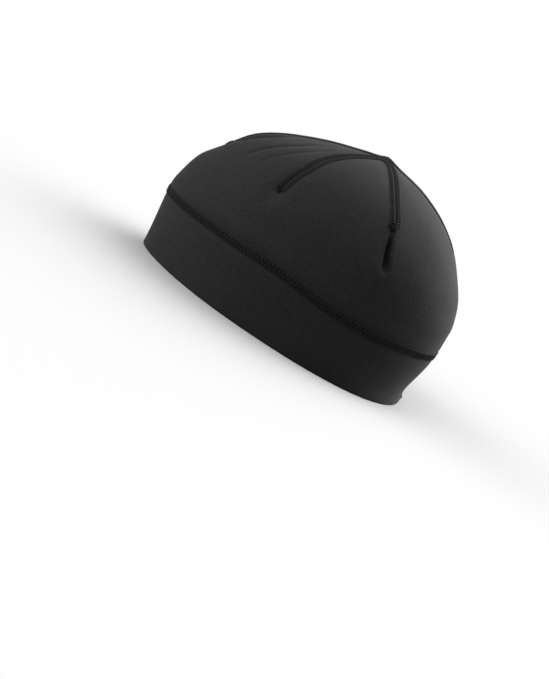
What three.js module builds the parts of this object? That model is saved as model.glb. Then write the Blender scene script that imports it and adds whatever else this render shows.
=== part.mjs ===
// A close-fitting skull cap of thin stretch jersey, at rest on its rim.
// Crown with six darts, folded band below it, and flat seam strips over every join.
// Millimetres, +Z up. The forehead faces -Y and the wearer's left is +X.

import * as THREE from 'three';

// Driving sizes
const crownWall = 1.3;
const bandWall = 2.0;
const clearance = 0.3;
const apex = { y: 8.2, z: 125 };

// Flat seams: a strip of threads over the cloth, thickest along its middle
const seamWidth = 5.6;
const seamEdgeRise = 0.3;
const seamRise = 0.65;
const seamBed = seamWidth / 2 + 0.2;
const seamNotch = 0.5;

// Plan of the cap: half ellipses that narrow at the forehead and are fuller over the nape
const frontTaper = 0.16;
const backFullness = 0.12;

// Net of the cloth: columns between two darts, and the widest turn of a seam's bed close to the apex
const fillColumns = 10;
const widestBedTurn = 16;

// Sections of the whole cap from the rim up, each a loop round the head:
// its foremost and rearmost place, its half width and where along Y it is widest
const sections = [
  { z: 0, front: -93.8, back: 94.4, half: 78.9, widest: 16.2 },
  { z: 9, front: -94.6, back: 93.4, half: 79.1, widest: 16.2 },
  { z: 20, front: -96.0, back: 95.5, half: 79.2, widest: 15.2 },
  { z: 30, front: -97.2, back: 97.5, half: 79.6, widest: 14.2 },
  { z: 38, front: -98.0, back: 98.0, half: 80.0, widest: 14.2 },
  { z: 46, front: -97.0, back: 97.4, half: 80.0, widest: 13.2 },
  { z: 56, front: -95.5, back: 97.8, half: 79.5, widest: 13.2 },
  { z: 66, front: -91.3, back: 94.7, half: 77.8, widest: 13.2 },
  { z: 76, front: -84.7, back: 89.9, half: 75.0, widest: 13.2 },
  { z: 86, front: -77.4, back: 83.0, half: 70.6, widest: 12.2 },
  { z: 95, front: -68.8, back: 75.6, half: 64.6, widest: 10.2 },
  { z: 103, front: -56.4, back: 67.0, half: 57.0, widest: 9.2 },
  { z: 109.6, front: -42.0, back: 57.4, half: 47.8, widest: 8.2 },
  { z: 115.2, front: -27.4, back: 46.0, half: 36.5, widest: 7.2 },
  { z: 119.5, front: -13.0, back: 34.0, half: 24.6, widest: 7.2 },
  { z: 122.2, front: -2.4, back: 21.0, half: 13.5, widest: 8.2 },
  { z: 123.6, front: 2.6, back: 14.0, half: 6.0, widest: 8.2 },
];

const topSection = sections[sections.length - 1];

// Height of the seam between band and crown, by direction from the apex, alike on both sides
const seamHeights = [
  { towards: -90, z: 37.2 },
  { towards: -65, z: 38.6 },
  { towards: -38, z: 40.2 },
  { towards: -14, z: 41.0 },
  { towards: 12, z: 38.2 },
  { towards: 30, z: 37.5 },
  { towards: 55, z: 38.0 },
  { towards: 90, z: 37.0 },
];

// Darts: direction from the apex low down and close to the top, the height where the stitching ends,
// the height and depth of the pucker below it, and how far the dart is drawn in or stands out as a ridge
const darts = [
  { name: 'front', low: -90, top: -90, sewnTo: 81.5, tip: 78, pucker: 1.0, groove: 0.7, ridge: 0 },
  { name: 'front_left', low: -37, top: -40, sewnTo: 81.5, tip: 78, pucker: 1.2, groove: 0.7, ridge: 0 },
  { name: 'back_left', low: 22.5, top: 21, sewnTo: 97, tip: 82, pucker: 3.4, groove: 0.25, ridge: 3.0 },
  { name: 'back', low: 90, top: 90, sewnTo: 97, tip: 84, pucker: 1.8, groove: 0.7, ridge: 0 },
  { name: 'back_right', low: 157.5, top: 159, sewnTo: 97, tip: 82, pucker: 3.4, groove: 0.25, ridge: 3.0 },
  { name: 'front_right', low: 217, top: 220, sewnTo: 81.5, tip: 78, pucker: 1.2, groove: 0.7, ridge: 0 },
];
const dartSweep = { from: 104, to: 121 };

// Relief of the cloth along a dart, and of the crown just above the band
const dartGroove = { half: 5, fadeBelow: 6, fadeNearApex: 14 };
const dartPucker = { half: 4, reach: 7 };
const dartRidge = { z: 84, reach: 24, half: 15, rounding: 1.5 };
const belowTip = { rise: 0.7, half: 13, drop: 11, reach: 8 };
const swell = { rise: 0.9, above: 8, reach: 6 };

// Heights of the net's rows: the band's as shares of its height, the crown's above the seam and then fixed
const bandShares = [0.035, 0.12, 0.32, 0.55, 0.77];
const crownRises = [8, 16];
const crownHeights = [65, 73, 79, 81.5, 84.5, 88, 92.5, 97, 102, 107, 111.5, 115.5, 119, 121.4, 123, 123.6];
const rimRounding = 0.45;

// A radius that lies outside the cap in every direction
const farOutside = 200;

const cloth = { color: 0x29292b, roughness: 0.8, metalness: 0 };
const materials = {
  crown: new THREE.MeshStandardMaterial(cloth),
  band: new THREE.MeshStandardMaterial({ ...cloth, color: 0x262628 }),
  thread: new THREE.MeshStandardMaterial({ color: 0x1a1a1c, roughness: 0.7, metalness: 0 }),
};

const radians = THREE.MathUtils.degToRad;
const smoothstep = THREE.MathUtils.smoothstep;
const bell = (distance, reach) => Math.exp(-((distance / reach) ** 2));

// One column of a table at a value between its rows, on a smooth curve through them
function readTable(table, by, value, column) {
  const last = table.length - 1;
  const inside = THREE.MathUtils.clamp(value, table[0][by], table[last][by]);
  const row = Math.max(table.findIndex((entry) => entry[by] >= inside), 1);
  const slope = (middle) => {
    const before = table[Math.max(middle - 1, 0)];
    const after = table[Math.min(middle + 1, last)];
    return (after[column] - before[column]) / (after[by] - before[by]);
  };
  const [lower, upper] = [table[row - 1], table[row]];
  const span = upper[by] - lower[by];
  const t = (inside - lower[by]) / span;
  const rise = upper[column] - lower[column];
  const [leaving, arriving] = [slope(row - 1) * span, slope(row) * span];
  const bend = 3 * rise - 2 * leaving - arriving;
  return lower[column] + t * (leaving + t * (bend + t * (leaving + arriving - 2 * rise)));
}

// How far the cap reaches from the apex's axis in one direction, at one height
function radiusTowards(direction, z) {
  const read = (column) => readTable(sections, 'z', z, column);
  const [front, back, half, widest] = [read('front'), read('back'), read('half'), read('widest')];
  const dx = Math.cos(radians(direction));
  const dy = Math.sin(radians(direction));
  const beyond = (radius) => {
    const y = apex.y + radius * dy - widest;
    const share = y < 0 ? y / (widest - front) : y / (back - widest);
    const fullness = y < 0 ? 1 - frontTaper * share ** 4 : 1 + backFullness * share ** 2;
    return ((radius * dx) / (half * fullness)) ** 2 + share ** 2 > 1;
  };
  const halvings = 36;
  let [inner, outer] = [0, farOutside];
  for (let step = 0; step < halvings; step += 1) {
    const middle = (inner + outer) / 2;
    if (beyond(middle)) {
      outer = middle;
    } else {
      inner = middle;
    }
  }
  return inner;
}

function dartDirection(dart, z) {
  return THREE.MathUtils.lerp(dart.low, dart.top, smoothstep(z, dartSweep.from, dartSweep.to));
}

function seamHeight(direction) {
  const sine = Math.sin(radians(direction));
  return readTable(seamHeights, 'towards', THREE.MathUtils.radToDeg(Math.asin(sine)), 'z');
}

// How far the cloth stands out of its plain form: in along the darts, out past their tips and over the band
function relief(direction, z, radius) {
  const aboveSeam = z - seamHeight(direction);
  let out = swell.rise * bell(aboveSeam - swell.above, swell.reach) - seamNotch * bell(aboveSeam, seamBed);
  for (const dart of darts) {
    const turn = radians(direction - dartDirection(dart, z));
    if (Math.cos(turn) <= 0) {
      continue;
    }
    const aside = radius * Math.sin(turn);
    const sewn = smoothstep(z, dart.sewnTo - dartGroove.fadeBelow, dart.sewnTo);
    const clear = smoothstep(radius, 0, dartGroove.fadeNearApex);
    out -= dart.groove * bell(aside, dartGroove.half) * sewn * clear;
    const fromCrest = Math.hypot(aside, dartRidge.rounding) - dartRidge.rounding;
    out += dart.ridge * Math.exp(-fromCrest / dartRidge.half) * bell(z - dartRidge.z, dartRidge.reach);
    out -= dart.pucker * bell(aside, dartPucker.half) * bell(z - dart.tip, dartPucker.reach);
    out += belowTip.rise * bell(aside, belowTip.half) * bell(z - dart.tip + belowTip.drop, belowTip.reach);
  }
  return out;
}

// Directions of the net's columns at one height: each dart's bed has its two edges and its middle
function columnDirections(z) {
  const beds = darts.map((dart) => {
    const middle = dartDirection(dart, z);
    const radius = radiusTowards(middle, z);
    const widest = Math.sin(radians(widestBedTurn));
    const turn = THREE.MathUtils.radToDeg(Math.asin(Math.min(seamBed / radius, widest)));
    return { middle, turn };
  });
  return beds.flatMap(({ middle, turn }, place) => {
    const next = beds[(place + 1) % beds.length];
    const end = next.middle - next.turn + (place === beds.length - 1 ? 360 : 0);
    const start = middle + turn;
    const gap = (end - start) / (fillColumns + 1);
    const fill = Array.from({ length: fillColumns }, (_, step) => start + gap * (step + 1));
    return [middle - turn, middle, start, ...fill];
  });
}

// A point of the plain form
function formPoint(direction, z) {
  const radius = radiusTowards(direction, z);
  const [x, y] = [radius * Math.cos(radians(direction)), radius * Math.sin(radians(direction))];
  return new THREE.Vector3(x, apex.y + y, z);
}

// A point of the cloth, lifted off its outer side by so much (below zero is inwards)
function clothPoint(direction, z, lift = 0) {
  const [degreesBeside, heightNearby] = [1, 0.3];
  const around = formPoint(direction + degreesBeside, z).sub(formPoint(direction - degreesBeside, z));
  const [lower, upper] = [Math.max(z - heightNearby, 0), Math.min(z + heightNearby, topSection.z)];
  const up = formPoint(direction, upper).sub(formPoint(direction, lower));
  const normal = around.cross(up).normalize();
  const out = relief(direction, z, radiusTowards(direction, z)) + lift;
  return formPoint(direction, z).addScaledVector(normal, out);
}

// Rows of the net, rim to apex: the height that their columns follow, and their height in a direction
const bandRows = [
  { columns: 0, height: () => 0 },
  ...bandShares.map((share) => ({ columns: 0, height: (direction) => share * seamHeight(direction) })),
  { columns: 0, height: (direction) => seamHeight(direction) - seamBed },
  { columns: 0, height: (direction) => seamHeight(direction) - clearance / 2 },
];
const crownRows = [
  { columns: 0, height: (direction) => seamHeight(direction) + clearance / 2 },
  { columns: 0, height: (direction) => seamHeight(direction) + seamBed },
  ...crownRises.map((rise) => ({ columns: 0, height: (direction) => seamHeight(direction) + rise })),
  ...crownHeights.map((fixed) => ({ columns: fixed, height: () => fixed })),
];
const netOf = (rows, lift) => rows.map(({ columns, height }) => (
  columnDirections(columns).map((direction) => clothPoint(direction, height(direction), lift))
));

// A closed body through rings of points: joined back to the first ring, or shut with a pole at each end
function loft(rings, poles) {
  const count = rings[0].length;
  const points = rings.flat();
  const triangles = [];
  const index = (ring, place) => (ring % rings.length) * count + (place % count);
  const strips = poles ? rings.length - 1 : rings.length;
  for (let ring = 0; ring < strips; ring += 1) {
    for (let place = 0; place < count; place += 1) {
      const [a, b] = [index(ring, place), index(ring, place + 1)];
      const [c, d] = [index(ring + 1, place + 1), index(ring + 1, place)];
      triangles.push(a, b, c, a, c, d);
    }
  }
  if (poles) {
    points.push(poles.start, poles.end);
    const [startPole, endPole, lastRing] = [points.length - 2, points.length - 1, rings.length - 1];
    for (let place = 0; place < count; place += 1) {
      triangles.push(startPole, index(0, place + 1), index(0, place));
      triangles.push(endPole, index(lastRing, place), index(lastRing, place + 1));
    }
  }
  return closedBody(points, triangles);
}

// Turns the triangles over where they enclose a negative volume, so that every face points out
function closedBody(points, triangles) {
  let volume = 0;
  for (let first = 0; first < triangles.length; first += 3) {
    const [a, b, c] = [0, 1, 2].map((corner) => points[triangles[first + corner]]);
    volume += a.dot(new THREE.Vector3().crossVectors(b, c));
  }
  const facing = volume > 0 ? triangles : triangles.slice().reverse();
  const geometry = new THREE.BufferGeometry().setFromPoints(points);
  geometry.setIndex(facing);
  geometry.computeVertexNormals();
  return geometry;
}

const cap = new THREE.Group();

function addPiece(name, geometry, material) {
  const piece = new THREE.Mesh(geometry, material);
  piece.name = name;
  cap.add(piece);
}

// Crown: one cloth wall, open below, closed at the apex
{
  const outside = netOf(crownRows, 0);
  const inside = netOf(crownRows, -crownWall);
  const start = new THREE.Vector3(0, apex.y, apex.z);
  const end = new THREE.Vector3(0, apex.y, apex.z - crownWall);
  addPiece('crown', loft([...outside.reverse(), ...inside], { start, end }), materials.crown);
}

// Band: two layers of the cloth folded at the rim, flat where it rests
{
  const outside = netOf(bandRows, 0);
  const inside = netOf(bandRows, -bandWall);
  const flat = ({ x, y }) => new THREE.Vector3(x, y, 0);
  const rimRing = (lift) => netOf(bandRows.slice(0, 1), lift)[0].map(flat);
  outside[0] = rimRing(-rimRounding);
  inside[0] = rimRing(rimRounding - bandWall);
  addPiece('band', loft([...outside, ...inside.reverse()]), materials.band);
}

// Cross-section of a seam strip: its bed along three places of the cloth, then back over its rounded top
function stripRing(places) {
  const [left, middle, right] = places.map(({ direction, z }) => (rise) => (
    clothPoint(direction, z, clearance + rise)
  ));
  return [left(0), middle(0), right(0), right(seamEdgeRise), middle(seamRise), left(seamEdgeRise)];
}

function centreOf(ring) {
  return ring.reduce((sum, point) => sum.add(point), new THREE.Vector3()).divideScalar(ring.length);
}

// Seam between band and crown, once round the head
{
  const rings = columnDirections(0).map((direction) => stripRing(
    [-seamWidth / 2, 0, seamWidth / 2].map((aside) => ({ direction, z: seamHeight(direction) + aside })),
  ));
  addPiece('band_seam', loft(rings), materials.thread);
}

// Rings of a dart's seam strip from where its stitching ends up to a last row near the apex
function dartRings(dart, lastHeight) {
  return crownHeights.filter((z) => z >= dart.sewnTo && z <= lastHeight).map((z) => {
    const middle = dartDirection(dart, z);
    const turn = THREE.MathUtils.radToDeg(Math.asin(seamWidth / 2 / radiusTowards(middle, z)));
    return stripRing([-turn, 0, turn].map((aside) => ({ direction: middle + aside, z })));
  });
}

function addStrip(name, rings) {
  const poles = { start: centreOf(rings[0]), end: centreOf(rings[rings.length - 1]) };
  addPiece(name, loft(rings, poles), materials.thread);
}

// Middle dart seam, from the forehead's dart over the apex to the back one
{
  const ringsOf = (name) => dartRings(darts.find((dart) => dart.name === name), topSection.z);
  const [forehead, nape] = [ringsOf('front'), ringsOf('back')];
  const turnedRound = nape.reverse().map((ring) => [ring[2], ring[1], ring[0], ring[5], ring[4], ring[3]]);
  const edgeZ = THREE.MathUtils.lerp(apex.z, topSection.z, seamWidth / 2 / topSection.half);
  const bed = [[-seamWidth / 2, edgeZ], [0, apex.z], [seamWidth / 2, edgeZ]];
  const [left, middle, right] = bed.map(([x, z]) => (rise) => (
    new THREE.Vector3(x, apex.y, z + clearance + rise)
  ));
  const overApex = [left(0), middle(0), right(0), right(seamEdgeRise), middle(seamRise), left(seamEdgeRise)];
  addStrip('crown_seam_centre', [...forehead, overApex, ...turnedRound]);
}

// The other dart seams stop just short of the middle one
const sideSeamTop = 121.4;
const sideDarts = darts.filter(({ name }) => name !== 'front' && name !== 'back');
for (const dart of sideDarts) {
  addStrip(`crown_seam_${dart.name}`, dartRings(dart, sideSeamTop));
}

export default cap;
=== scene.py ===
# Black stretch jersey skull cap at rest on its rim: darted crown, folded band and flat cover-stitched seams

import math

import bpy
import numpy as np
from mathutils import Matrix, Vector


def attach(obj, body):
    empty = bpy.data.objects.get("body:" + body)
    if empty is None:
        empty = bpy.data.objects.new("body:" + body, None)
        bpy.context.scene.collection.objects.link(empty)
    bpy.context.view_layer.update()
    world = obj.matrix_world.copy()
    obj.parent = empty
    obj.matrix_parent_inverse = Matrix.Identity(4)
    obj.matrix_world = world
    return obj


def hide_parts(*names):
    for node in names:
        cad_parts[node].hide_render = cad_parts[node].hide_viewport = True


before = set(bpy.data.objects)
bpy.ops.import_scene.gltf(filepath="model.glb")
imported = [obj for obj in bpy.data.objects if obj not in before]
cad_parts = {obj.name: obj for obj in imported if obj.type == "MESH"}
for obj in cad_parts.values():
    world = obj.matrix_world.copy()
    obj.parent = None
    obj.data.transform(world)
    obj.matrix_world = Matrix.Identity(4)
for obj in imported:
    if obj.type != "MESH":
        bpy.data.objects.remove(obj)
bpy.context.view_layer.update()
mm = 0.001  # the tables below are in millimetres, the scene is in metres
print("frame loaded:", len(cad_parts), "nodes")


# Camera first: seen from the wearer's left, with the cap tipped forward in the picture as it is worn
cameraLook = {
    "subject": (0.0, 0.0012, 0.060),  # metres, the point that the camera circles
    "aim": (0.00945, 0.0080, -0.0072),  # metres, what lies in the middle of the picture
    "distance": 1.6,  # metres
    "elevation": 8.0,  # degrees above the floor
    "roll": 32.1,  # degrees
    "lens": 136.5,  # millimetres, on a sensor of 36 for the picture's long side
}


def makeCamera(look):
    elevation = math.radians(look["elevation"])
    roll = math.radians(look["roll"])
    outward = Vector((math.cos(elevation), 0, math.sin(elevation)))
    upright = Vector((-math.sin(elevation), 0, math.cos(elevation)))
    pictureUp = upright * math.cos(roll) + Vector((0, -1, 0)) * math.sin(roll)
    place = Vector(look["subject"]) + outward * look["distance"]
    back = (place - Vector(look["aim"])).normalized()
    right = pictureUp.cross(back).normalized()
    up = back.cross(right)
    data = bpy.data.cameras.new("Camera")
    data.lens = look["lens"]
    camera = bpy.data.objects.new("Camera", data)
    camera.matrix_world = Matrix((right, up, back)).transposed().to_4x4()
    camera.location = place
    bpy.context.scene.collection.objects.link(camera)
    bpy.context.scene.camera = camera


makeCamera(cameraLook)
print("camera placed")


# The form of the cap, in millimetres and degrees, with the same sections and seam line as its CAD
capForm = {
    "apexY": 8.2,
    "apexZ": 125.0,
    "apexRounding": (0.8, 1.1, -0.9),  # leaves on the last section's slope and ends nearly level
    "frontTaper": 0.16,  # how much the plan narrows towards the forehead
    "backFullness": 0.12,  # how much it fills out over the nape
    "sections": {
        "z": (0, 9, 20, 30, 38, 46, 56, 66, 76, 86, 95, 103, 109.6, 115.2, 119.5, 122.2, 123.6),
        "front": (-93.8, -94.6, -96.0, -97.2, -98.0, -97.0, -95.5, -91.3, -84.7, -77.4, -68.8, -56.4,
                  -42.0, -27.4, -13.0, -2.4, 2.6),
        "back": (94.4, 93.4, 95.5, 97.5, 98.0, 97.4, 97.8, 94.7, 89.9, 83.0, 75.6, 67.0,
                 57.4, 46.0, 34.0, 21.0, 14.0),
        "half": (78.9, 79.1, 79.2, 79.6, 80.0, 80.0, 79.5, 77.8, 75.0, 70.6, 64.6, 57.0,
                 47.8, 36.5, 24.6, 13.5, 6.0),
        "widest": (16.2, 16.2, 15.2, 14.2, 14.2, 13.2, 13.2, 13.2, 13.2, 12.2, 10.2, 9.2,
                   8.2, 7.2, 7.2, 8.2, 8.2),
    },
    "seamTowards": (-90, -65, -38, -14, 12, 30, 55, 90),  # the seam over the band, alike on both sides
    "seamHeight": (37.2, 38.6, 40.2, 41.0, 38.2, 37.5, 38.0, 37.0),
    "crownWall": 1.3,
    "bandWall": 2.0,
}
topHeight = capForm["sections"]["z"][-1]
apexHeight = topHeight + 1  # past the last section a height counts shares of the way in to the apex

# The six darts: direction low down and close to the apex, the height where the stitching ends,
# the height and depth of the pucker below it, how far the dart is drawn in or stands out as a ridge,
# how far its seam bends forward at the apex, the side of its pucker that is steeper, if any,
# and how large the knot at its lower end is
dartColumns = ("low", "top", "sewnTo", "tip", "pucker", "groove", "ridge", "bend", "steep", "knot")
dartRows = {
    "front": (-90, -90, 81.5, 78, 1.0, 0.7, 0, 0, 0, 0.85),
    "front_left": (-37, -40, 81.5, 78, 1.2, 0.7, 0, 0, 0, 0.7),
    "back_left": (22, 19.5, 97, 83, 1.7, 0.25, 3.0, 12, 1, 1),
    "back": (90, 90, 97, 84, 1.8, 0.7, 0, 0, 0, 0),
    "back_right": (158, 160.5, 97, 83, 1.7, 0.25, 3.0, 12, -1, 1),
    "front_right": (217, 220, 81.5, 78, 1.2, 0.7, 0, 0, 0, 0.7),
}
darts = {name: dict(zip(dartColumns, row)) for name, row in dartRows.items()}
dartLook = {
    "sweepFrom": 98,
    "sweepTo": 114,
    "grooveHalf": 5,
    "fadeBelow": 6,
    "fadeNearApex": 14,
    "ridgeHeight": 84,
    "ridgeReach": 24,
    "ridgeHalf": 15,
    "ridgeRounding": 1.5,
    "puckerHalf": 5.5,
    "puckerSteepHalf": 2.5,
    "puckerReach": 9.0,
    "tuckDepth": 6.5,  # in a steep-sided pucker the cloth is tucked in along a short dark slot
    "tuckReach": 8.5,  # up and down from the pucker's middle
    "tuckHeights": (75, 79, 84, 92),
    "tuckAsides": (3.6, 2.8, 1.3, -0.2),  # how far to the steep side the slot lies at those heights
    "tuckHalves": (2.7, 2.4, 1.9, 1.4),
    "belowTipRise": 0.7,
    "belowTipHalf": 13,
    "belowTipDrop": 11,
    "belowTipReach": 8,
}
clothLook = {
    "swellRise": 0.9,  # the crown stands out a little over the seam
    "swellAbove": 8,
    "swellReach": 6,
    "seamNotch": 0.5,  # and is drawn in under the stitches
    "seamBed": 3.0,
    "unevenness": 0.16,  # the cloth is never perfectly even
    "unevenWaves": ((3, 17), (7, -9), (11, 6)),  # waves round the cap, and how fast each slants upwards
    "evenApex": 30,  # within this of the axis the unevenness fades
    "napeJoinDepth": 0.35,  # the band's own join at the nape
    "napeJoinHalf": 0.9,
    "napeNub": 1.3,  # where that join's thread is cut off at the fold
    "napeNubHalf": 1.6,
    "napeNubHeight": 3.0,
}

# Stretch wrinkles between two darts: the line that each follows, how far it stands out and its half width
wrinkles = (
    {"towards": (-66.5, -65.5, -62.5, -64), "height": (80, 89, 104.5, 116), "rise": -0.8, "half": 1.8},
    {"towards": (-57, -55.5, -52.5, -51), "height": (82, 92, 104, 117), "rise": -0.52, "half": 1.8},
    {"towards": (-85, -83.0, -80.5, -79.5), "height": (82, 89.5, 98, 110), "rise": -1.8, "half": 3.0},
)


farOut = 200.0  # beyond every point of the cap
radiusHalvings = 30
heightHalvings = 26
heightFrom = 50.0  # the form narrows all the way from here to the apex


def smoothRead(places, values, at):  # a cubic curve through a table, its slopes from the neighbouring rows
    places = np.asarray(places, float)
    values = np.asarray(values, float)
    at = np.clip(at, places[0], places[-1])
    rows = np.arange(len(places))
    before = np.maximum(rows - 1, 0)
    after = np.minimum(rows + 1, len(places) - 1)
    slope = (values[after] - values[before]) / (places[after] - places[before])
    row = np.clip(np.searchsorted(places, at), 1, len(places) - 1)
    span = places[row] - places[row - 1]
    share = (at - places[row - 1]) / span
    rise = values[row] - values[row - 1]
    leaving = slope[row - 1] * span
    arriving = slope[row] * span
    bend = 3 * rise - 2 * leaving - arriving
    return values[row - 1] + share * (leaving + share * (bend + share * (leaving + arriving - 2 * rise)))


def smoothStep(value, low, high):
    share = np.clip((value - low) / (high - low), 0, 1)
    return share * share * (3 - 2 * share)


def bell(distance, reach):
    return np.exp(-((distance / reach) ** 2))


def alongLine(points):  # how far along a line each of its points lies
    return np.concatenate(([0], np.cumsum(np.linalg.norm(np.diff(points, axis=0), axis=1))))


def asideFrom(turn, radius):  # distance beside a line up the cap, far out on the other half of the cap
    return np.where(np.cos(turn) > 0, radius * np.sin(turn), farOut)


def sectionRadius(direction, z):  # how far the cap reaches from its axis, found by halving
    front, back, half, widest = (
        smoothRead(capForm["sections"]["z"], capForm["sections"][name], z)
        for name in ("front", "back", "half", "widest")
    )
    dx = np.cos(np.radians(direction))
    dy = np.sin(np.radians(direction))
    inner = np.zeros_like(z + direction)
    outer = np.full_like(inner, farOut)
    for _ in range(radiusHalvings):
        middle = (inner + outer) / 2
        y = capForm["apexY"] + middle * dy - widest
        share = np.where(y < 0, y / (widest - front), y / (back - widest))
        narrow = 1 - capForm["frontTaper"] * share**4
        full = 1 + capForm["backFullness"] * share**2
        fullness = np.where(y < 0, narrow, full)
        beyond = (middle * dx / (half * fullness)) ** 2 + share**2 > 1
        outer = np.where(beyond, middle, outer)
        inner = np.where(beyond, inner, middle)
    return inner


# Radii worked out once on a fine net of directions and heights, and read between its knots afterwards
directionStep = 0.5
heightStep = 0.2
netDirections = np.arange(0, 360 + directionStep, directionStep)
netHeights = np.arange(0, topHeight + heightStep / 2, heightStep)
netRadii = sectionRadius(netDirections[None, :], netHeights[:, None])


def formRadius(direction, height):
    column = np.mod(direction, 360) / directionStep
    row = np.clip(height, 0, topHeight) / heightStep
    left = np.minimum(column.astype(int), len(netDirections) - 2)
    low = np.minimum(row.astype(int), len(netHeights) - 2)
    across = column - left
    above = row - low
    lower = netRadii[low, left] * (1 - across) + netRadii[low, left + 1] * across
    upper = netRadii[low + 1, left] * (1 - across) + netRadii[low + 1, left + 1] * across
    radius = lower * (1 - above) + upper * above
    return radius * (1 - np.clip(height - topHeight, 0, 1))


def formPoint(direction, height):  # a point of the plain form, without the cloth's relief
    direction, height = np.broadcast_arrays(np.asarray(direction, float), np.asarray(height, float))
    radius = formRadius(direction, height)
    share = np.clip(height - topHeight, 0, 1)
    leaving, bending, ending = capForm["apexRounding"]
    rounded = share * (leaving + bending * share + ending * share**2)
    z = np.minimum(height, topHeight) + (capForm["apexZ"] - topHeight) * rounded
    x = radius * np.cos(np.radians(direction))
    y = capForm["apexY"] + radius * np.sin(np.radians(direction))
    return np.stack((x, y, z), -1)


def seamHeightAt(direction):
    folded = np.degrees(np.arcsin(np.sin(np.radians(direction))))
    return smoothRead(capForm["seamTowards"], capForm["seamHeight"], folded)


def dartDirection(dart, height):
    share = smoothStep(height, dartLook["sweepFrom"], dartLook["sweepTo"])
    return dart["low"] + (dart["top"] - dart["low"]) * share


def dartRelief(dart, direction, height, radius, under):  # under is how deep below the cloth's outer side
    turn = np.radians(direction - dartDirection(dart, height))
    aside = asideFrom(turn, radius)
    sewn = smoothStep(height, dart["sewnTo"] - dartLook["fadeBelow"], dart["sewnTo"])
    clear = smoothStep(radius, 0, dartLook["fadeNearApex"])
    groove = dart["groove"] * bell(aside, dartLook["grooveHalf"]) * sewn * clear
    fromCrest = np.hypot(aside, dartLook["ridgeRounding"]) - dartLook["ridgeRounding"]
    ridge = dart["ridge"] * np.exp(-fromCrest / dartLook["ridgeHalf"])
    ridge = ridge * bell(height - dartLook["ridgeHeight"], dartLook["ridgeReach"])
    fromTip = height - dart["tip"]
    width = np.where(aside * dart["steep"] > 0, dartLook["puckerSteepHalf"], dartLook["puckerHalf"])
    pucker = dart["pucker"] * bell(aside, width) * bell(fromTip, dartLook["puckerReach"])
    if dart["steep"]:
        middle = dart["steep"] * np.interp(height, dartLook["tuckHeights"], dartLook["tuckAsides"])
        half = np.interp(height, dartLook["tuckHeights"], dartLook["tuckHalves"]) + under
        across = (aside - middle) / half
        fromMiddle = fromTip / (dartLook["tuckReach"] + under)
        pucker = pucker + dartLook["tuckDepth"] * np.exp(-(across**6) - fromMiddle**4)
    below = dartLook["belowTipRise"] * bell(aside, dartLook["belowTipHalf"])
    below = below * bell(height - dart["tip"] + dartLook["belowTipDrop"], dartLook["belowTipReach"])
    return below + ridge - groove - pucker


def wrinkleRelief(direction, height, radius):
    total = np.zeros_like(radius)
    for line in wrinkles:
        towards = smoothRead(line["height"], line["towards"], height)
        ends = smoothStep(height, line["height"][0], line["height"][1])
        ends = ends * (1 - smoothStep(height, line["height"][-2], line["height"][-1]))
        for middle in (towards, 180 - towards):  # the other side of the cap wrinkles alike
            aside = asideFrom(np.radians(direction - middle), radius)
            total += line["rise"] * bell(aside, line["half"]) * ends
    return total


def relief(direction, height, under):  # how far the cloth stands out of its plain form
    radius = formRadius(direction, height)
    above = height - seamHeightAt(direction)
    out = clothLook["swellRise"] * bell(above - clothLook["swellAbove"], clothLook["swellReach"])
    out = out - clothLook["seamNotch"] * bell(above, clothLook["seamBed"])
    for dart in darts.values():
        out = out + dartRelief(dart, direction, height, radius, under)
    out = out + wrinkleRelief(direction, height, radius)
    turn = np.radians(direction)
    waves = clothLook["unevenWaves"]
    uneven = sum(np.sin(number * turn + height / rise) for number, rise in waves)
    out = out + clothLook["unevenness"] / len(waves) * uneven * smoothStep(radius, 0, clothLook["evenApex"])
    join = bell(radius * np.cos(turn), clothLook["napeJoinHalf"]) * (np.sin(turn) > 0) * (above < 0)
    nub = bell(radius * np.cos(turn), clothLook["napeNubHalf"]) * (np.sin(turn) > 0)
    nub = nub * bell(height - clothLook["napeNubHeight"], clothLook["napeNubHalf"])
    return out - clothLook["napeJoinDepth"] * join + clothLook["napeNub"] * nub


def clothPoint(direction, height, lift=0.0):  # the point on the cloth and the plain form's normal there
    direction, height = np.broadcast_arrays(np.asarray(direction, float), np.asarray(height, float))
    beside = 1.0
    nearby = 0.3
    around = formPoint(direction + beside, height) - formPoint(direction - beside, height)
    upper = formPoint(direction, np.minimum(height + nearby, apexHeight))
    lower = formPoint(direction, np.maximum(height - nearby, 0))
    normal = np.cross(around, upper - lower)
    length = np.linalg.norm(normal, axis=-1, keepdims=True)
    normal = np.where(length > 1e-9, normal / np.maximum(length, 1e-9), (0, 0, 1))
    out = relief(direction, height, np.maximum(-lift, 0)) + lift
    return formPoint(direction, height) + normal * out[..., None], normal


def heightAt(x, y):  # direction and height of the form over a place of the plan, above its widest section
    direction = np.degrees(np.arctan2(y - capForm["apexY"], x))
    radius = np.hypot(x, y - capForm["apexY"])
    low = np.full_like(radius, heightFrom)
    high = np.full_like(radius, apexHeight)
    for _ in range(heightHalvings):
        middle = (low + high) / 2
        wider = formRadius(direction, middle) > radius
        low = np.where(wider, middle, low)
        high = np.where(wider, high, middle)
    return direction, low


print("form ready")


# Mesh makers
def makePiece(name, points, faces, material, cloth=None):
    mesh = bpy.data.meshes.new(name)
    mesh.from_pydata((np.asarray(points) * mm).tolist(), [], faces)
    mesh.polygons.foreach_set("use_smooth", [True] * len(mesh.polygons))
    if cloth is not None:
        layer = mesh.uv_layers.new(name="cloth")
        layer.data.foreach_set("uv", (np.asarray(cloth) * mm).ravel())
    mesh.materials.append(material)
    mesh.validate()
    piece = bpy.data.objects.new(name, mesh)
    bpy.context.scene.collection.objects.link(piece)
    return piece


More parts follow.
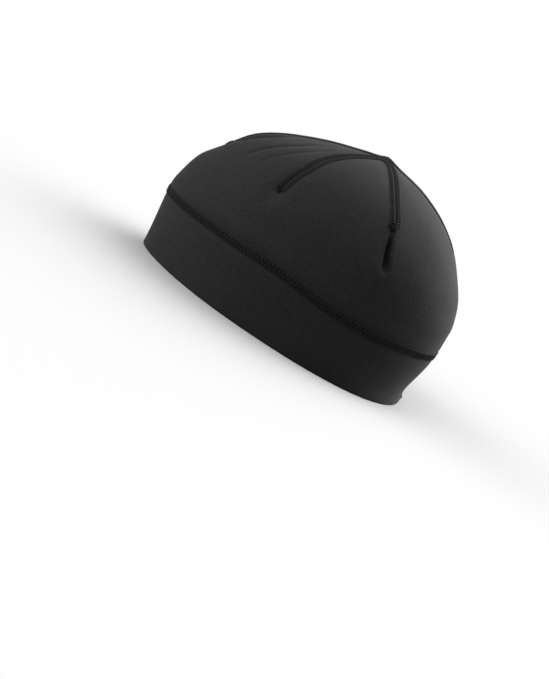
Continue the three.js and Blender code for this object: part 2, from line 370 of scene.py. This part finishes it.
def ringFaces(rings, count, closed):  # quads between rings of points, each ring joined back to its start
    ring, place = np.meshgrid(np.arange(rings if closed else rings - 1), np.arange(count), indexing="ij")
    nextRing = (ring + 1) % rings
    nextPlace = (place + 1) % count
    here = ring * count
    there = nextRing * count
    corners = (here + place, here + nextPlace, there + nextPlace, there + place)
    return np.stack(corners, -1).reshape(-1, 4)


def ringCloth(net):  # the cloth's flat coordinates at each corner of those quads; net has one column more
    corners = (net[:-1, :-1], net[:-1, 1:], net[1:, 1:], net[1:, :-1])
    return np.stack(corners, 2).reshape(-1, 2)


threadSides = 6
threadEnd = 0.6  # a thread's ends are this much thinner


def tubes(paths, normals, radius):  # closed round threads along many paths at once
    sides = threadSides
    count, steps, _ = paths.shape
    tangents = np.gradient(paths, axis=1)
    tangents = tangents / np.maximum(np.linalg.norm(tangents, axis=-1, keepdims=True), 1e-9)
    across = np.cross(tangents, normals)
    across = across / np.maximum(np.linalg.norm(across, axis=-1, keepdims=True), 1e-9)
    upward = np.cross(across, tangents)
    angles = np.linspace(0, 2 * math.pi, sides, endpoint=False)
    taper = np.ones(steps)
    taper[[0, -1]] = threadEnd
    circle = np.cos(angles)[:, None] * upward[:, :, None, :]
    circle = circle + np.sin(angles)[:, None] * across[:, :, None, :]
    points = paths[:, :, None, :] + circle * (radius * taper)[None, :, None, None]
    start = (np.arange(count) * steps * sides)[:, None, None]
    one = np.arange(steps - 1)[:, None] * sides
    side = np.arange(sides)[None, :]
    nextSide = (side + 1) % sides
    quads = np.stack((one + side, one + sides + side, one + sides + nextSide, one + nextSide), -1)
    quads = (quads.reshape(1, -1, 4) + start).reshape(-1, 4).tolist()
    firstCap = (np.arange(sides)[None, :] + start[:, 0]).tolist()
    lastCap = ((steps - 1) * sides + np.arange(sides)[::-1][None, :] + start[:, 0]).tolist()
    return points.reshape(-1, 3), quads + firstCap + lastCap


def joined(parts):  # one list of points and faces out of several
    points = []
    faces = []
    for somePoints, someFaces in parts:
        start = sum(len(p) for p in points)
        points.append(somePoints)
        faces.extend([[start + corner for corner in face] for face in someFaces])
    return np.concatenate(points), faces


# Materials
def linear(hexColour):  # an sRGB hex value as linear red, green, blue and alpha
    parts = [int(hexColour[place:place + 2], 16) / 255 for place in (1, 3, 5)]
    return [p / 12.92 if p <= 0.04045 else ((p + 0.055) / 1.055) ** 2.4 for p in parts] + [1.0]


def addNode(tree, kind, settings=None, inputs=None):  # a node with its settings, its values and its links
    node = tree.nodes.new(kind)
    for name, value in (settings or {}).items():
        setattr(node, name, value)
    for name, value in (inputs or {}).items():
        if isinstance(value, bpy.types.NodeSocket):
            tree.links.new(value, node.inputs[name])
        else:
            node.inputs[name].default_value = value
    return node


def newMaterial(name):
    material = bpy.data.materials.new(name)
    material.use_nodes = True
    material.node_tree.nodes.clear()
    return material, material.node_tree


# Brushed polyester and elastane jersey: matt and near black face on, its short nap lighter at every edge
jerseyLook = {
    "deep": "#09090a",
    "pale": "#0d0d0f",
    "roughness": 0.86,
    "specular": 0.18,
    "ior": 1.46,
    "sheen": 0.01,
    "sheenRoughness": 0.5,
    "walePitch": 1.6,  # millimetres; real wales lie 0.55 apart, drawn three times as coarse to show
    "coursePitch": 1.7,  # millimetres; real courses lie 0.55 apart, drawn three times as coarse too
    "legSlant": 0.6,  # how far each leg of a loop climbs, in courses
    "napScale": 0.9,  # millimetres
    "napDetail": 3.0,
    "napRoughness": 0.7,
    "bumpDistance": 0.11,  # millimetres
    "bumpStrength": 0.8,
    "melange": 1.6,  # millimetres; darker and lighter fibres lie mixed in the yarn
    "melangeDetail": 4.0,
    "melangeRoughness": 0.75,
    "melangeFrom": 0.35,  # the part of the noise that is spread between deep and pale
    "melangeTo": 0.65,
    "loopContrast": 0.17,
    "glossSpread": 0.28,  # share by which the gloss of single fibres differs
}


def makeJersey(name, look):
    material, tree = newMaterial(name)
    cloth = addNode(tree, "ShaderNodeUVMap", {"uv_map": "cloth"})
    split = addNode(tree, "ShaderNodeSeparateXYZ", inputs={0: cloth.outputs["UV"]})
    place = addNode(tree, "ShaderNodeTexCoord")
    wale = addNode(tree, "ShaderNodeMath", {"operation": "MULTIPLY"},
                   {0: split.outputs["X"], 1: 1 / (look["walePitch"] * mm)})
    tent = addNode(tree, "ShaderNodeMath", {"operation": "PINGPONG"}, {0: wale.outputs[0], 1: 0.5})
    slant = addNode(tree, "ShaderNodeMath", {"operation": "MULTIPLY"},
                    {0: tent.outputs[0], 1: look["legSlant"]})
    course = addNode(tree, "ShaderNodeMath", {"operation": "MULTIPLY"},
                     {0: split.outputs["Y"], 1: 1 / (look["coursePitch"] * mm)})
    legs = addNode(tree, "ShaderNodeMath", {"operation": "ADD"},
                   {0: course.outputs[0], 1: slant.outputs[0]})
    loops = addNode(tree, "ShaderNodeMath", {"operation": "PINGPONG"}, {0: legs.outputs[0], 1: 0.5})
    knit = addNode(tree, "ShaderNodeMath", {"operation": "ADD"},
                   {0: loops.outputs[0], 1: tent.outputs[0]})
    nap = addNode(tree, "ShaderNodeTexNoise", inputs={
        "Vector": place.outputs["Object"], "Scale": 1 / (look["napScale"] * mm),
        "Detail": look["napDetail"], "Roughness": look["napRoughness"]})
    height = addNode(tree, "ShaderNodeMath", {"operation": "ADD"},
                     {0: knit.outputs[0], 1: nap.outputs["Fac"]})
    bump = addNode(tree, "ShaderNodeBump", inputs={
        "Height": height.outputs[0], "Distance": look["bumpDistance"] * mm,
        "Strength": look["bumpStrength"]})
    yarn = addNode(tree, "ShaderNodeTexNoise", inputs={
        "Vector": place.outputs["Object"], "Scale": 1 / (look["melange"] * mm),
        "Detail": look["melangeDetail"], "Roughness": look["melangeRoughness"]})
    blend = addNode(tree, "ShaderNodeMath", {"operation": "MULTIPLY_ADD"},
                    {0: loops.outputs[0], 1: look["loopContrast"], 2: yarn.outputs["Fac"]})
    share = addNode(tree, "ShaderNodeMapRange", inputs={
        "Value": blend.outputs[0], "From Min": look["melangeFrom"],
        "From Max": look["melangeTo"] + 0.5 * look["loopContrast"]})
    colour = addNode(tree, "ShaderNodeMix", {"data_type": "RGBA"},
                     {0: share.outputs["Result"], 6: linear(look["deep"]), 7: linear(look["pale"])})
    lustre = addNode(tree, "ShaderNodeMapRange", inputs={
        "Value": share.outputs["Result"], "To Min": look["specular"] * (1 - look["glossSpread"]),
        "To Max": look["specular"] * (1 + look["glossSpread"])})
    shader = addNode(tree, "ShaderNodeBsdfPrincipled", inputs={
        "Base Color": colour.outputs[2], "Roughness": look["roughness"], "IOR": look["ior"],
        "Specular IOR Level": lustre.outputs["Result"], "Sheen Weight": look["sheen"],
        "Sheen Roughness": look["sheenRoughness"], "Normal": bump.outputs["Normal"]})
    addNode(tree, "ShaderNodeOutputMaterial", inputs={"Surface": shader.outputs["BSDF"]})
    return material


# Textured polyester thread: bulky, a shade darker than the cloth, with a dull gloss on its filaments
threadLook = {
    "deep": "#070708",
    "pale": "#0d0d0e",
    "roughness": 0.7,
    "specular": 0.16,
    "ior": 1.53,
    "sheen": 0.0,
    "sheenRoughness": 0.5,
    "fibre": 0.35,  # millimetres between darker and lighter filaments
    "fibreDetail": 2.0,
    "fibreBump": 0.05,  # millimetres
    "bumpStrength": 0.5,
}


def makeThread(name, look):
    material, tree = newMaterial(name)
    place = addNode(tree, "ShaderNodeTexCoord")
    fibres = addNode(tree, "ShaderNodeTexNoise", inputs={
        "Vector": place.outputs["Object"], "Scale": 1 / (look["fibre"] * mm),
        "Detail": look["fibreDetail"]})
    colour = addNode(tree, "ShaderNodeMix", {"data_type": "RGBA"},
                     {0: fibres.outputs["Fac"], 6: linear(look["deep"]), 7: linear(look["pale"])})
    bump = addNode(tree, "ShaderNodeBump", inputs={
        "Height": fibres.outputs["Fac"], "Distance": look["fibreBump"] * mm,
        "Strength": look["bumpStrength"]})
    shader = addNode(tree, "ShaderNodeBsdfPrincipled", inputs={
        "Base Color": colour.outputs[2], "Roughness": look["roughness"], "IOR": look["ior"],
        "Specular IOR Level": look["specular"], "Sheen Weight": look["sheen"],
        "Sheen Roughness": look["sheenRoughness"], "Normal": bump.outputs["Normal"]})
    addNode(tree, "ShaderNodeOutputMaterial", inputs={"Surface": shader.outputs["BSDF"]})
    return material


bandJerseyLook = {**jerseyLook, "pale": "#0c0c0e", "specular": 0.196}
# The jersey under the stitches is the crown's jersey made darker and less glossy: painted shade where the
# threads shade the bed
shadedBedJerseyLook = {**jerseyLook, "deep": "#060607", "pale": "#0a0a0b", "specular": 0.1}
# The knots use the same thread made blacker and less glossy: painted shade where the knot sits in shadow
shadedKnotThreadLook = {**threadLook, "deep": "#030303", "pale": "#060607", "specular": 0.06}
crownJersey = makeJersey("brushed stretch jersey, crown", jerseyLook)
bandJersey = makeJersey("brushed stretch jersey, band", bandJerseyLook)
shadedBedJersey = makeJersey("stretch jersey under the stitches", shadedBedJerseyLook)
seamThread = makeThread("textured polyester thread", threadLook)
shadedKnotThread = makeThread("textured polyester thread, knotted", shadedKnotThreadLook)
print("materials made")


rimRadius = 85.0  # millimetres, turns a direction into a distance along the rim
tipHeight = 80.0  # the darts narrow the panels from about here upwards


def clothNet(directions, heights):  # the cloth laid flat: along the rim and up the wall
    radius = formRadius(directions, heights)
    tipRadius = formRadius(directions, np.full_like(heights, tipHeight))
    angles = np.radians(directions)
    points = formPoint(directions, heights)
    steps = np.linalg.norm(np.diff(points, axis=0), axis=-1)
    up = np.concatenate((np.zeros((1, directions.shape[1])), np.cumsum(steps, axis=0)))
    middles = []
    starts = sorted(dart["low"] for dart in darts.values())
    for low, high in zip(starts, starts[1:] + [starts[0] + 360]):
        middles.append((low + high) / 2)
    middles = np.radians(np.array(middles))
    nearest = np.argmin(np.abs(np.angle(np.exp(1j * (angles[..., None] - middles)))), axis=-1)
    middle = middles[nearest]
    offset = np.angle(np.exp(1j * (angles - middle)))
    narrowed = np.where(heights > tipHeight, radius / tipRadius, 1.0)
    return np.stack((rimRadius * (middle + offset * narrowed), up), -1)


# Crown: one layer of cloth with all its relief, and its inner side
crownLook = {
    "columns": 600,
    "crowding": 3.0,  # the columns lie this much closer at the two puckers at the back
    "crowdingHalf": 6.0,
    "rows": 128,
    "innerRows": 36,
    "evenFrom": 60.0,  # below this height the rows follow the seam
    "evenTowards": 20.0,  # and above it they lie evenly spaced along the cap's side in this direction
    "fineHeights": 2000,
    "fineDirections": 7201,
    "seamGap": 0.1,
}


def evenHeights(count, low, look):
    fine = np.linspace(low, apexHeight, look["fineHeights"])
    length = alongLine(formPoint(look["evenTowards"], fine))
    return np.interp(np.linspace(0, length[-1], count + 1)[:-1], length, fine)


def crownDirections(look):
    fine = np.linspace(0, 360, look["fineDirections"])
    density = np.ones_like(fine)
    for name in ("back_left", "back_right"):
        density += look["crowding"] * bell(fine - darts[name]["low"], look["crowdingHalf"])
    share = np.concatenate(([0], np.cumsum(density[1:])))
    return np.interp(np.linspace(0, share[-1], look["columns"] + 1), share, fine)


def crownSide(directions, rows, lift, look):
    low = capForm["seamHeight"][0]
    even = evenHeights(rows, low, look)[:, None]
    edge = (seamHeightAt(directions) + look["seamGap"])[None, :]
    share = (look["evenFrom"] - even) / (look["evenFrom"] - low)
    following = look["evenFrom"] + (edge - look["evenFrom"]) * share
    heights = np.where(even < look["evenFrom"], following, even)
    spread = np.broadcast_to(directions[None, :], heights.shape)
    points, _ = clothPoint(spread, heights, lift)
    return points, spread, heights


def makeCrown(look):
    directions = crownDirections(look)
    outside, spread, heights = crownSide(directions, look["rows"], 0.0, look)
    wall = capForm["crownWall"]
    inside, innerSpread, innerHeights = crownSide(directions, look["innerRows"], -wall, look)
    count = look["columns"]
    rings = np.concatenate((inside[::-1, :-1], outside[:, :-1]))
    net = np.concatenate((clothNet(innerSpread, innerHeights)[::-1], clothNet(spread, heights)))
    faces = ringFaces(len(rings), count, False)
    cloth = ringCloth(net)
    points = rings.reshape(-1, 3)
    apex = (0, capForm["apexY"], capForm["apexZ"])
    innerApex = (0, capForm["apexY"], capForm["apexZ"] - wall)
    points = np.concatenate((points, [apex, innerApex]))
    place = np.arange(count)
    nextPlace = (place + 1) % count
    lastRing = (len(rings) - 1) * count
    top = np.stack((lastRing + place, lastRing + nextPlace, np.full(count, len(points) - 2)), -1)
    bottom = np.stack((nextPlace, place, np.full(count, len(points) - 1)), -1)
    fans = np.zeros((count * 2 * 3, 2))
    faces = faces.tolist() + top.tolist() + bottom.tolist()
    piece = makePiece("crown_cloth", points, faces, crownJersey, np.concatenate((cloth, fans)))
    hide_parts("crown")
    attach(piece, "root")


makeCrown(crownLook)
print("crown made")


# Band: the cloth folded double, rounded at the rim
bandLook = {
    "columns": 540,
    "rows": 40,
    "foldSteps": 10,
    "innerRows": 14,
    "seamGap": 0.1,
}


def makeBand(look):
    directions = np.arange(look["columns"] + 1) * 360 / look["columns"]
    wall = capForm["bandWall"]
    top = seamHeightAt(directions) - look["seamGap"]
    fold = wall / 2
    outerShare = np.linspace(0, 1, look["rows"])[:, None]
    innerShare = np.linspace(1, 0, look["innerRows"])[:, None]
    outerHeights = fold + (top - fold) * outerShare
    innerHeights = fold + (top - fold) * innerShare
    spread = np.broadcast_to(directions[None, :], outerHeights.shape)
    innerSpread = np.broadcast_to(directions[None, :], innerHeights.shape)
    outer, _ = clothPoint(spread, outerHeights, 0.0)
    inner, _ = clothPoint(innerSpread, innerHeights, -wall)
    rimMiddle, rimNormal = clothPoint(directions, np.full_like(directions, fold), -fold)
    level = rimNormal * (1, 1, 0)
    level = level / np.linalg.norm(level, axis=-1, keepdims=True)
    turns = np.linspace(0, math.pi, look["foldSteps"] + 2)[1:-1]
    turned = []
    for turn in turns:
        turned.append(rimMiddle + level * (fold * math.cos(turn)) - np.array((0, 0, fold * math.sin(turn))))
    foldRings = np.stack(turned)[::-1]
    rings = np.concatenate((inner, foldRings, outer))
    rings[..., 2] = np.maximum(rings[..., 2], 0)
    lengths = np.concatenate((np.zeros((1, rings.shape[1])),
                              np.cumsum(np.linalg.norm(np.diff(rings, axis=0), axis=-1), axis=0)))
    along = np.broadcast_to(rimRadius * np.radians(directions)[None, :], lengths.shape)
    count = look["columns"]
    cloth = np.stack((along, lengths), -1)
    points = rings[:, :-1].reshape(-1, 3)
    faces = ringFaces(len(rings), count, True).tolist()
    closing = np.concatenate((cloth, cloth[:1] + (0, float(lengths.max()) + wall)))
    piece = makePiece("band_cloth", points, faces, bandJersey, ringCloth(closing))
    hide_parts("band")
    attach(piece, "root")


makeBand(bandLook)
print("band made")


# Flat seam between band and crown: a raised bed of the two cloth edges, four rows of needle thread
# and a cover thread that runs back and forth over them
bandSeamLook = {
    "half": 2.8,
    "bedStep": 0.9,
    "bedColumns": 19,
    "bedRise": 0.42,
    "sink": 0.12,  # how deep the bed's edges lie in the cloth
    "thickness": 0.25,
    "endReach": 2.0,  # over this length the bed narrows and sinks at its ends
    "endWidth": 0.55,  # to this share of its width
    "furrowDepth": 0.0,
    "stitch": 2.6,  # length of one stitch
    "stitchGap": 0.06,  # share of a stitch that is left free at each end
    "needleRows": (-2.05, -0.68, 0.68, 2.05),
    "needlePoints": 6,
    "needleRadius": 0.2,
    "needleShow": 0.6,  # share of the radius that the thread lies above the bed
    "needleArch": 0.2,
    "archRoundness": 0.6,
    "coverPaths": ((-2.5, 2.5, 0.0), (2.5, -2.5, 0.5)),  # beside at start and end, and place in the stitch
    "coverPoints": 8,
    "coverRadius": 0.19,
    "coverLift": 0.34,
    "coverFlatness": 6,
}
# The dart seams have two padded halves with a furrow between them
dartSeamLook = {
    **bandSeamLook,
    "half": 3.9,
    "furrowDepth": 0.5,
    "furrowHalf": 0.7,
    "stitch": 2.0,
    "needleRows": (-3.25, -1.2, 1.2, 3.25),
    "needleRadius": 0.18,
    "coverPaths": ((-3.3, -1.0, 0.0), (-1.0, -3.3, 0.5), (1.0, 3.3, 0.0), (3.3, 1.0, 0.5)),
    "coverRadius": 0.15,
    "coverLift": 0.2,
}
# The tied-off thread at a dart's lower end: loops by their middle along and beside the seam and their half
# sizes along and across, and tails by their places beside the seam at start and end and their length
knotLook = {
    "thread": 0.38,  # radius
    "tailThread": 0.6,  # as a share of the loops' thread
    "loops": ((0.2, 0.1, 2.3, 1.4), (0.9, 1.3, 1.6, 1.7), (-0.7, 0.5, 2.1, 1.1),
              (0.2, 1.7, 1.2, 2.1), (1.3, -0.4, 1.4, 1.1), (-0.4, 1.7, 1.8, 0.8)),
    "loopPoints": 16,
    "winding": 1.9,  # half turns of each loop
    "lift": 0.6,
    "sway": 0.28,  # a loop's thread goes up and down by this
    "pile": 0.12,  # and each loop lies higher than the one before
    "tails": ((-0.4, -0.9, 2.8), (1.6, 2.0, 3.6)),
    "tailPoints": 9,
    "tailFrom": 0.6,
    "tailWave": 0.35,
    "tailWaves": 5,
    "tailLifts": (0.55, 0.2),
}


apexBendReach = 14.0  # how far from the apex a seam starts to bend forward
sideSeamEnd = 4.0  # how far from the apex the four side seams end
belowStitching = 12.0  # the seams' lines are drawn on below the stitching, for the knots
linePoints = 1800
lineStep = 0.5
bandSeamStep = 0.25  # degrees


def bedHeight(aside, look):  # the bed is flat along its middle and falls off to both edges
    share = np.clip(np.abs(aside) / look["half"], 0, 1)
    rise = (look["bedRise"] + look["sink"]) * (1 - share**4) - look["sink"]
    if look["furrowDepth"]:
        rise = rise - look["furrowDepth"] * bell(aside, look["furrowHalf"])
    return rise


def dartPath(dart, endRadius):  # a dart's middle line in plan, from below its stitching to the apex
    heights = np.linspace(dart["sewnTo"] - belowStitching, apexHeight, linePoints)
    line = formPoint(dartDirection(dart, heights), heights)
    radius = np.hypot(line[:, 0], line[:, 1] - capForm["apexY"])
    bend = dart["bend"] * np.clip(1 - radius / apexBendReach, 0, 1) ** 2
    line = (line - bend[:, None] * (0, 1, 0))[radius >= endRadius]
    length = alongLine(line)
    even = np.linspace(0, length[-1], int(length[-1] / lineStep) + 1)
    return np.stack([np.interp(even, length, line[:, axis]) for axis in (0, 1)], -1)


def seamLine(plan):  # a seam's middle line over a plan, measured along the cloth
    direction, height = heightAt(plan[:, 0], plan[:, 1])
    along = alongLine(formPoint(direction, height))
    slope = np.gradient(plan, along, axis=0)
    aside = np.stack((-slope[:, 1], slope[:, 0]), -1)
    aside = aside / np.linalg.norm(aside, axis=1, keepdims=True)
    return {"along": along, "plan": plan, "aside": aside, "heights": height, "length": along[-1]}


def bandSeamLine():  # the seam between band and crown, once round the head
    directions = np.arange(0, 360 + bandSeamStep, bandSeamStep)
    along = alongLine(formPoint(directions, seamHeightAt(directions)))
    return {"along": along, "directions": directions, "length": along[-1]}


def placeOn(line, along, aside, lift):  # a point by its distance along a seam, beside and above it
    if "directions" in line:
        direction = np.interp(np.mod(along, line["length"]), line["along"], line["directions"])
        return clothPoint(direction, seamHeightAt(direction) + aside, lift)
    x, y = (np.interp(along, line["along"], line["plan"][:, axis])
            + aside * np.interp(along, line["along"], line["aside"][:, axis]) for axis in (0, 1))
    direction, height = heightAt(x, y)
    return clothPoint(direction, height, lift)


def seamThreads(line, look, start, end):
    count = int(round((end - start) / look["stitch"]))
    stitch = (end - start) / count
    first = start + stitch * np.arange(count)[:, None]
    share = np.linspace(0, 1, look["needlePoints"])[None, :]
    parts = []
    for row in look["needleRows"]:
        along = first + stitch * (look["stitchGap"] + (1 - 2 * look["stitchGap"]) * share)
        aside = np.full_like(along, row)
        arch = np.sin(math.pi * share) ** look["archRoundness"] * look["needleArch"] * 2 - look["needleArch"]
        lift = bedHeight(aside, look) + arch + look["needleRadius"] * look["needleShow"]
        points, normals = placeOn(line, along, aside, lift)
        parts.append(tubes(points, normals, look["needleRadius"]))
    cross = np.linspace(0, 1, look["coverPoints"])[None, :]
    for fromAside, toAside, shift in look["coverPaths"]:
        along = first + stitch * (shift + 0.5 * cross)
        aside = np.broadcast_to(fromAside + (toAside - fromAside) * cross, along.shape)
        arch = 1 - np.abs(2 * cross - 1) ** look["coverFlatness"]
        lift = bedHeight(aside, look) + look["coverLift"] * arch
        points, normals = placeOn(line, np.minimum(along, end), aside, lift)
        parts.append(tubes(points, normals, look["coverRadius"]))
    return parts


def knotThreads(line, look, start, size):
    turn = np.linspace(0, look["winding"] * math.pi, look["loopPoints"])
    parts = []
    for number, loop in enumerate(look["loops"]):
        along, aside, halfAlong, halfAside = (size * part for part in loop)
        lift = look["lift"] + look["sway"] * np.sin(2 * turn + number) + look["pile"] * number
        points, normals = placeOn(
            line,
            start - (along + halfAlong * np.cos(turn + number))[None, :],
            (aside + halfAside * np.sin(turn + number))[None, :],
            size * lift[None, :],
        )
        parts.append(tubes(points, normals, size * look["thread"]))
    share = np.linspace(0, 1, look["tailPoints"])
    fromLift, toLift = look["tailLifts"]
    for fromAside, toAside, length in look["tails"]:
        wave = look["tailWave"] * np.sin(look["tailWaves"] * share)
        points, normals = placeOn(
            line,
            (start - size * (look["tailFrom"] + length * share))[None, :],
            size * (fromAside + (toAside - fromAside) * share + wave)[None, :],
            (fromLift + (toLift - fromLift) * share)[None, :],
        )
        parts.append(tubes(points, normals, look["thread"] * look["tailThread"]))
    return parts


def seamBed(line, look, start, end, closed):
    asides = np.linspace(-look["half"], look["half"], look["bedColumns"])
    along = np.linspace(start, end, int((end - start) / look["bedStep"]), endpoint=not closed)
    spread, across = np.meshgrid(along, asides, indexing="ij")
    ends = np.ones_like(spread)
    if not closed:
        fromEnd = np.minimum(spread - start, end - spread)
        ends = smoothStep(fromEnd, 0, look["endReach"])
    narrowed = across * (look["endWidth"] + (1 - look["endWidth"]) * ends)
    upperLift = (bedHeight(across, look) + look["sink"]) * ends - look["sink"]
    upper, _ = placeOn(line, spread, narrowed, upperLift)
    lower, _ = placeOn(line, spread, narrowed, np.full_like(spread, -look["sink"] - look["thickness"]))
    rings = np.concatenate((upper, lower[:, ::-1]), axis=1)
    count = rings.shape[1]
    faces = ringFaces(len(rings), count, closed).tolist()
    if not closed:
        faces.append(list(range(count)))
        faces.append([(len(rings) - 1) * count + place for place in range(count)][::-1])
    return rings.reshape(-1, 3), faces


def makeSeam(name, node, line, look, start, end, knotSize):
    bedPoints, bedFaces = seamBed(line, look, start, end, "directions" in line)
    threads = seamThreads(line, look, start, end)
    pieces = [
        (makePiece(name + "_bed", bedPoints, bedFaces, shadedBedJersey), "crown_jersey"),
        (makePiece(name + "_threads", *joined(threads), seamThread), "seam_thread"),
    ]
    if knotSize:
        knot = knotThreads(line, knotLook, start, knotSize)
        pieces.append((makePiece(name + "_knot", *joined(knot), shadedKnotThread), "seam_thread"))
    for piece, slotName in pieces:
        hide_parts(node)
        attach(piece, "root")


def sewnStart(line, dart):  # how far along its line a dart's stitching begins
    return float(np.interp(dart["sewnTo"], line["heights"], line["along"]))


bandLine = bandSeamLine()
makeSeam("band_seam", "band_seam", bandLine, bandSeamLook, 0.0, bandLine["length"], 0)

frontPlan = dartPath(darts["front"], 0.0)
backPlan = dartPath(darts["back"], 0.0)
frontStart = sewnStart(seamLine(frontPlan), darts["front"])
backStart = sewnStart(seamLine(backPlan), darts["back"])
centreLine = seamLine(np.concatenate((frontPlan, backPlan[::-1][1:])))
centreEnd = centreLine["length"] - backStart
centreKnot = darts["front"]["knot"]
makeSeam("centre_seam", "crown_seam_centre", centreLine, dartSeamLook, frontStart, centreEnd, centreKnot)
for name in ("front_left", "back_left", "back_right", "front_right"):
    line = seamLine(dartPath(darts[name], sideSeamEnd))
    start = sewnStart(line, darts[name])
    knot = darts[name]["knot"]
    makeSeam(name + "_seam", "crown_seam_" + name, line, dartSeamLook, start, line["length"], knot)
print("seams made")


# Studio: a pale floor without an end in sight, under soft boxes so far off that they belong to the sky
studioLook = {
    "floorColour": "#959595",
    "floorRoughness": 0.9,
    "floorSpecular": 0.1,
    "floorSize": 40.0,  # metres
    "horizonStrength": 0.02,
}
softBoxes = (  # degrees about +Z from +X, degrees above the floor, strength; the sharper, the narrower
    {"towards": 0, "elevation": 85, "strength": 0.9, "sharpness": 6},
    {"towards": 135, "elevation": 42, "strength": 10.6, "sharpness": 6},
    {"towards": 135, "elevation": 8, "strength": 1.5, "sharpness": 6},
    {"towards": -45, "elevation": 42, "strength": 4.0, "sharpness": 6},
    {"towards": -45, "elevation": 8, "strength": 1.9, "sharpness": 6},
    {"towards": -90, "elevation": 8, "strength": 8.8, "sharpness": 10},
)
fillLook = {"place": (1.2, -0.6, 1.4), "size": 1.0, "power": 0.6}


def makeFloor(look):
    half = look["floorSize"] / 2
    mesh = bpy.data.meshes.new("floor")
    corners = [(-half, -half, 0), (half, -half, 0), (half, half, 0), (-half, half, 0)]
    mesh.from_pydata(corners, [], [(0, 1, 2, 3)])
    material, tree = newMaterial("matt painted studio floor")
    shader = addNode(tree, "ShaderNodeBsdfPrincipled", inputs={
        "Base Color": linear(look["floorColour"]), "Roughness": look["floorRoughness"],
        "Specular IOR Level": look["floorSpecular"]})
    addNode(tree, "ShaderNodeOutputMaterial", inputs={"Surface": shader.outputs["BSDF"]})
    mesh.materials.append(material)
    floor = bpy.data.objects.new("floor", mesh)
    bpy.context.scene.collection.objects.link(floor)


def makeLight(look, boxes, fill):
    world = bpy.data.worlds.new("studio")
    bpy.context.scene.world = world
    world.use_nodes = True
    tree = world.node_tree
    sky = addNode(tree, "ShaderNodeTexCoord")
    total = None
    for box in boxes:
        turn = math.radians(box["towards"])
        rise = math.radians(box["elevation"])
        towards = (math.cos(rise) * math.cos(turn), math.cos(rise) * math.sin(turn), math.sin(rise))
        facing = addNode(tree, "ShaderNodeVectorMath", {"operation": "DOT_PRODUCT"},
                         {0: sky.outputs["Generated"], 1: towards})
        ahead = addNode(tree, "ShaderNodeMath", {"operation": "MAXIMUM"},
                        {0: facing.outputs["Value"], 1: 0.0})
        soft = addNode(tree, "ShaderNodeMath", {"operation": "POWER"},
                       {0: ahead.outputs[0], 1: box["sharpness"]})
        before = look["horizonStrength"] if total is None else total.outputs[0]
        total = addNode(tree, "ShaderNodeMath", {"operation": "MULTIPLY_ADD"},
                        {0: soft.outputs[0], 1: box["strength"], 2: before})
    tree.links.new(total.outputs[0], tree.nodes["Background"].inputs["Strength"])
    tree.nodes["Background"].inputs["Color"].default_value = (1, 1, 1, 1)
    data = bpy.data.lights.new("fill", "AREA")
    data.size = fill["size"]
    data.energy = fill["power"]
    light = bpy.data.objects.new("fill", data)
    light.location = fill["place"]
    light.rotation_euler = Vector(fill["place"]).to_track_quat("Z", "Y").to_euler()
    bpy.context.scene.collection.objects.link(light)


makeFloor(studioLook)
makeLight(studioLook, softBoxes, fillLook)
bpy.context.scene.view_settings.view_transform = "Standard"
print("studio made")
